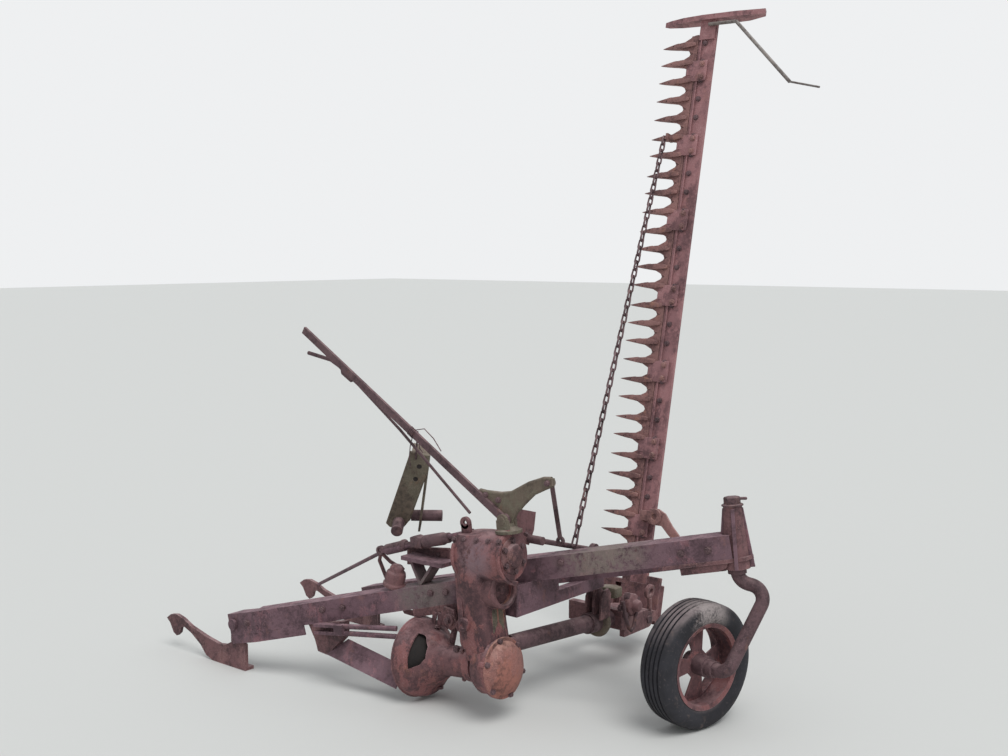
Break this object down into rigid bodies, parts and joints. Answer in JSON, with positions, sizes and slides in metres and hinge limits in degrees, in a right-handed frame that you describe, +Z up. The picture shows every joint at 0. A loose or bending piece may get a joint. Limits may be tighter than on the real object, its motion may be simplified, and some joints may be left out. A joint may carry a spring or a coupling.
{
  "type": "folded sickle bar mower",
  "caption": "Folded sickle bar mower standing on hitch hooks and a caster wheel, its toothed cutter bar raised beside a gear case and hand lever.",
  "frame": {"origin": "middle of the whole machine's footprint, on the floor", "axes": "+X forward (the way it is towed), +Y to its left, +Z up"},
  "size_m": [2.2241, 1.7276, 2.4728],
  "materials": {
    "rusty_casting": "rusted, rough",
    "rusty_steel": "rusted, rough",
    "faded_red": "faded paint over rust",
    "faded_green": "faded paint over rust",
    "worn_steel": "worn, rusty",
    "tyre": "dusty rubber"
  },
  "bodies": {
    "frame": {"near_beam": "rusty_steel", "far_beam": "rusty_steel", "near_hook": "rusty_casting", "far_hook": "rusty_casting", "hitch_pins": "rusty_steel", "front_strap": "rusty_steel", "caster_head": "rusty_casting", "post_cap": "rusty_casting", "gear_case": "rusty_casting", "lower_cap": "rusty_steel", "upper_cap": "rusty_casting", "bearing_core": "rusty_casting", "case_lid": "rusty_casting", "bell_shield": "faded_red", "input_shaft": "rusty_steel", "case_clamp": "rusty_casting", "cross_arm": "rusty_steel", "drag_tube": "faded_red", "tube_yoke": "rusty_casting", "hinge_pins": "rusty_steel", "lever_stand": "rusty_casting", "lever_guard": "faded_red", "lift_rod": "rusty_steel", "hitch_bracket": "rusty_casting", "brace_rods": "rusty_steel", "brace_plate": "rusty_steel", "tension_rod": "rusty_steel", "clutch_cone": "rusty_casting", "box_stand": "rusty_steel"},
    "hand_lever": {"hand_lever": "rusty_steel", "lever_crank": "faded_green", "latch_grip": "rusty_steel", "latch_rod": "rusty_steel"},
    "drop_link": {"drop_link": "rusty_steel"},
    "hanging_yoke": {"hanging_yoke": "faded_green", "yoke_pins": "rusty_steel", "hanger_wire": "rusty_steel"},
    "cutter_bar": {"cutter_bar": "faded_red", "knife_guards": "rusty_casting", "knife": "worn_steel", "hold_down_clips": "rusty_steel", "outer_shoe": "rusty_casting", "grass_board": "worn_steel", "inner_shoe": "rusty_casting", "shoe_hinge": "rusty_casting", "tilt_arm": "rusty_steel", "chain_hook": "rusty_steel"},
    "hold_chain": {"hold_chain": "rusty_steel"},
    "caster": {"caster_arm": "rusty_steel"},
    "wheel": {"tyre": "tyre", "wheel_rim": "faded_red", "wheel_hub": "rusty_casting"}
  },
  "joints": [
    {"name": "caster_swivel", "type": "hinge", "parent": "frame", "child": "caster", "pos_m": [-1.013, 0.18, 0.524], "axis": [0.1045, 0, 0.9945], "continuous": true},
    {"name": "wheel_spin", "type": "hinge", "parent": "caster", "child": "wheel", "pos_m": [-0.908, 0.25, 0.207], "axis": [0.9781, -0.2079, 0], "continuous": true},
    {"name": "bar_fold", "type": "hinge", "parent": "frame", "child": "cutter_bar", "pos_m": [-0.335, -0.218, 0.15], "axis": [1, 0, 0], "range_deg": [0, 77.8]},
    {"name": "lever_swing", "type": "hinge", "parent": "frame", "child": "hand_lever", "pos_m": [-0.42495, 0.622, 0.67498], "axis": [0, 1, 0], "range_deg": [-35, 0]},
    {"name": "link_swing", "type": "hinge", "parent": "hand_lever", "child": "drop_link", "pos_m": [-0.59295, 0.606, 0.81298], "axis": [0, 1, 0], "range_deg": [0, 35]},
    {"name": "yoke_hang", "type": "hinge", "parent": "hand_lever", "child": "hanging_yoke", "pos_m": [-0.018, 0.606, 0.918], "axis": [0, 1, 0], "range_deg": [0, 35]},
    {"name": "chain_swing", "type": "hinge", "parent": "cutter_bar", "child": "hold_chain", "pos_m": [-0.175, -0.68083, 1.98309], "axis": [1, 0, 0], "range_deg": [-18.5, 0]}
  ],
  "couplings": [
    {"joint": "link_swing", "follows": "lever_swing", "ratio": -1},
    {"joint": "yoke_hang", "follows": "lever_swing", "ratio": -1},
    {"joint": "chain_swing", "follows": "bar_fold", "ratio": -0.2314}
  ]
}
